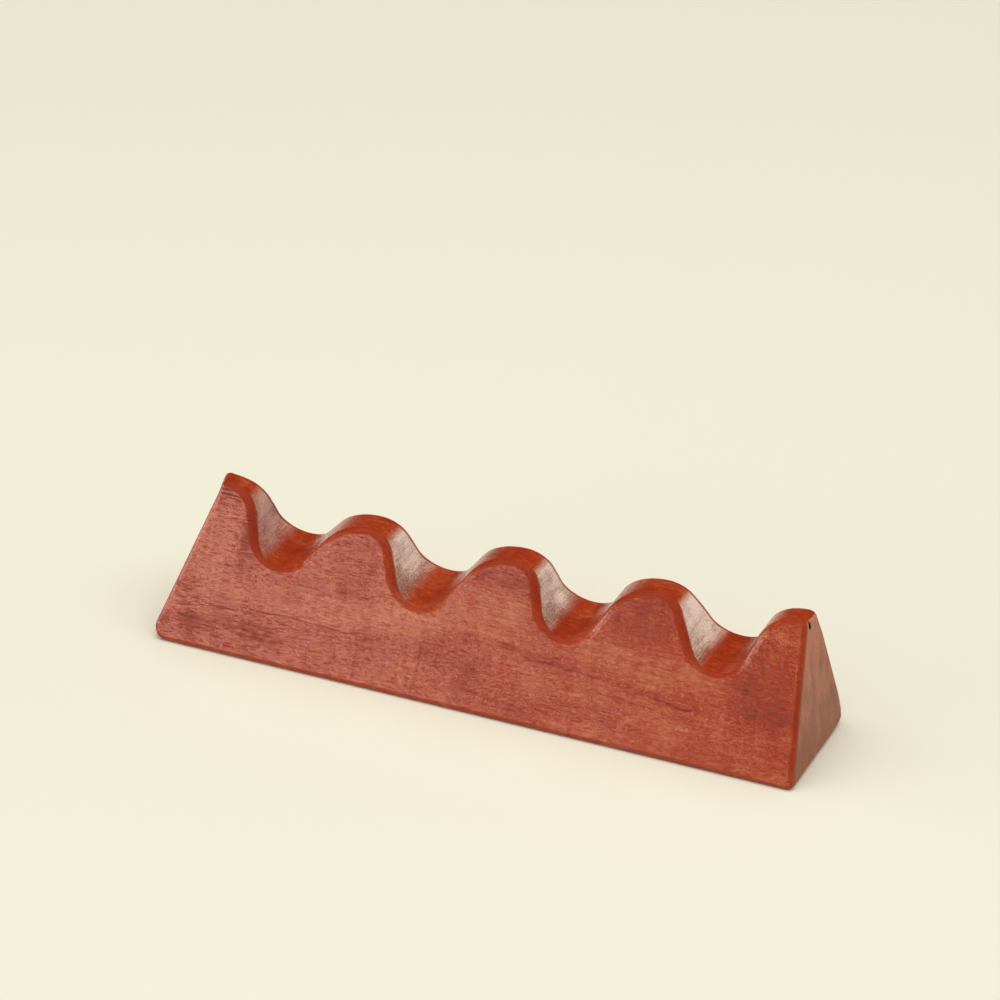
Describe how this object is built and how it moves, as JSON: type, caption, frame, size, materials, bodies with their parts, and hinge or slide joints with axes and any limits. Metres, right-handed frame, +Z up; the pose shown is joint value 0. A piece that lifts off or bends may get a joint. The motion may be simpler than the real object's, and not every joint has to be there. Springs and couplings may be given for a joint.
{
  "type": "brush rest",
  "caption": "Wedge-shaped hardwood bar with a carved wave of crests and notches along its ridge, for resting writing brushes.",
  "frame": {"origin": "middle of the footprint on the plane of the base", "axes": "+X along the block from its tall end crest to its other end, +Y from the front face to the back face, +Z up"},
  "size_m": [0.1586, 0.0344, 0.0373],
  "materials": {
    "wood": "satin oiled, red-brown with dark pores along the grain"
  },
  "bodies": {
    "root": {"rest_block": "wood"}
  },
  "joints": []
}
